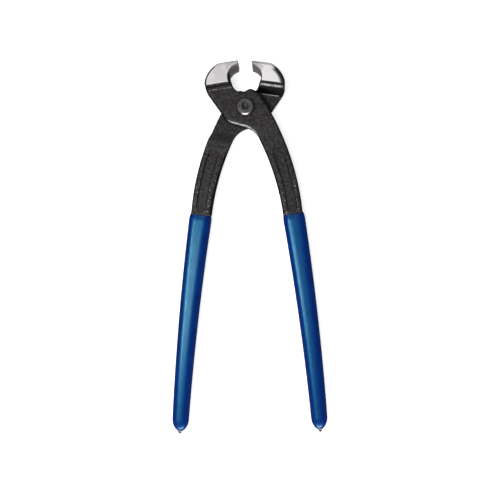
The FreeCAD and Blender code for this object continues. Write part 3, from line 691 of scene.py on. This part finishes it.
def grip_rings():
    """Rings of the sleeve: from inside the mouth over its rounded lip, down the outside, round the nose
    and into the hole that the steel's point comes through."""
    outside = (GRIP_WIDTH, GRIP_DEPTH, GRIP_POWER)
    bore = (TANG_WIDTH, TANG_DEPTH, TANG_POWER)
    rings = [grip_ring(ARM_LENGTH + inside, bore, dip=MOUTH_DIP) for inside in (6 * MM, 1 * MM)]
    for step in range(LIP_STEPS + 1):
        angle = math.pi * step / LIP_STEPS
        drop = ARM_LENGTH + MOUTH_LIP * (1 - math.sin(angle))
        inset = MOUTH_LIP * (1 + math.cos(angle)) + SHOULDER_DROP
        rings.append(grip_ring(drop, outside, inset=inset, dip=MOUTH_DIP))
    start = ARM_LENGTH + MOUTH_LIP + 0.1 * MM
    for step in range(SLEEVE_STEPS + 1):
        drop = start + (TAPER_END - start) * step / SLEEVE_STEPS
        near_mouth = max(0.0, 1 - (drop - start) / SHOULDER_LENGTH)
        shoulder = SHOULDER_DROP * near_mouth**2
        rings.append(grip_ring(drop, outside, inset=shoulder, wobble=0.006, dip=MOUTH_DIP * near_mouth))
    for share, scale in NOSE_PROFILE:
        rings.append(grip_ring(TAPER_END + NOSE_LENGTH * share, outside, scale))
    rings.append(grip_ring(TAPER_END + NOSE_LENGTH * 0.9, bore, NOSE_HOLE))
    return rings


def skin(name, rings, matrix):
    """Closed tube of quads through rings, its first and last ring joined by the inside."""
    mesh = bpy.data.meshes.new(name)
    build = bmesh.new()
    rows = [[build.verts.new(matrix @ point) for point in ring] for ring in rings]
    pairs = list(zip(rows, rows[1:])) + [(rows[-1], rows[0])]
    for row, following in pairs:
        for index in range(len(row)):
            after = (index + 1) % len(row)
            build.faces.new((row[index], row[after], following[after], following[index]))
    bmesh.ops.recalc_face_normals(build, faces=build.faces)
    build.to_mesh(mesh)
    build.free()
    mesh.shade_smooth()
    piece = bpy.data.objects.new(name, mesh)
    bpy.context.scene.collection.objects.link(piece)
    return piece


def make_grip(front):
    """One lever's dipped sleeve, in place of the plain solid."""
    end = "front" if front else "rear"
    piece = skin(f"{end}_dipped_grip", grip_rings(), lever_matrix(front))
    piece.data.materials.append(grip_vinyl(front))
    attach(piece, end)
    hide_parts(f"{end}_grip")


# ---------------------------------------------------------------- stage

def dress(node, material):
    """Give a CAD node its material."""
    slots = frame["nodes"][node].data.materials
    slots.clear()
    slots.append(material)


def make_floor():
    """Pale floor that the jaws and the ends of the grips lie on."""
    jaw = Vector((0, PIVOT.y + GROUND_FOOT, 0))
    grip_low = PIVOT.z - GRIP_DEPTH[1] / 2
    tail = Vector((0, PIVOT.y - TAPER_END * math.cos(OPENING / 2), grip_low))
    slope = math.atan2(tail.z - jaw.z, jaw.y - tail.y)
    bpy.ops.mesh.primitive_plane_add(size=FLOOR_SIZE, location=jaw, rotation=(-slope, 0, 0))
    floor = bpy.context.object
    floor.name = "floor"
    floor.visible_glossy = False
    floor.data.materials.append(pale_floor())


def add_area(name, place, target, size, power):
    """Soft rectangular light aimed at the target, its width level and its length towards the jaws."""
    light = bpy.data.lights.new(name, "AREA")
    light.shape = "RECTANGLE"
    light.size, light.size_y = size
    light.energy = power
    holder = bpy.data.objects.new(name, light)
    bpy.context.scene.collection.objects.link(holder)
    holder.location = place
    back = (Vector(place) - Vector(target)).normalized()
    across = Vector((0, 1, 0)).cross(back).normalized()
    holder.rotation_euler = Matrix((across, back.cross(across), back)).transposed().to_euler()


def light_studio():
    """Dim overhead tent that darkens towards the horizon, a key and a narrow streak from the left,
    a softer light over the jaws, and a low strip from the handles' side."""
    world = bpy.data.worlds.new("studio")
    world.use_nodes = True
    nodes, links = world.node_tree.nodes, world.node_tree.links
    background = nodes["Background"]
    direction = nodes.new("ShaderNodeTexCoord")
    split = nodes.new("ShaderNodeSeparateXYZ")
    tent = nodes.new("ShaderNodeMapRange")
    tent.interpolation_type = "SMOOTHSTEP"
    tent.inputs["From Min"].default_value = 0.0
    tent.inputs["From Max"].default_value = TENT_FADE
    tent.inputs["To Min"].default_value = TENT_HORIZON
    tent.inputs["To Max"].default_value = TENT_TOP
    links.new(direction.outputs["Generated"], split.inputs[0])
    links.new(split.outputs["Z"], tent.inputs["Value"])
    links.new(tent.outputs["Result"], background.inputs["Strength"])
    background.inputs["Color"].default_value = (1.0, 1.0, 1.0, 1.0)
    bpy.context.scene.world = world
    add_area("key", KEY_PLACE, ORIGIN, KEY_SIZE, KEY_POWER)
    add_area("streak", STREAK_PLACE, ORIGIN, STREAK_SIZE, STREAK_POWER)
    add_area("jaw_light", JAW_LIGHT_PLACE, ORIGIN, JAW_LIGHT_SIZE, JAW_LIGHT_POWER)
    add_area("strip", STRIP_PLACE, ORIGIN, STRIP_SIZE, STRIP_POWER)


def make_camera():
    """Camera straight above the tool, its axis through the point below it."""
    lens = bpy.data.cameras.new("camera")
    lens.sensor_width = SENSOR_WIDTH
    lens.lens = SENSOR_WIDTH * CAMERA_HEIGHT / VIEW_WIDTH
    lens.shift_x = SHIFT_RIGHT
    camera = bpy.data.objects.new("camera", lens)
    bpy.context.scene.collection.objects.link(camera)
    camera.location = PIVOT + CAMERA_FOOT + Vector((0, 0, CAMERA_HEIGHT))
    camera.rotation_euler = (0, 0, CAMERA_ROLL)
    bpy.context.scene.camera = camera


bpy.context.scene.view_settings.view_transform = "Standard"
make_camera()
light_studio()
make_floor()
for is_front, end_name in ((True, "front"), (False, "rear")):
    dress(f"{end_name}_lever", forged_steel(is_front))
    dress(f"{end_name}_carbide_tip", carbide(is_front))
    dress(f"{end_name}_tip_braze", braze_alloy())
    make_grip(is_front)
dress("pivot_rivet", rivet_steel())
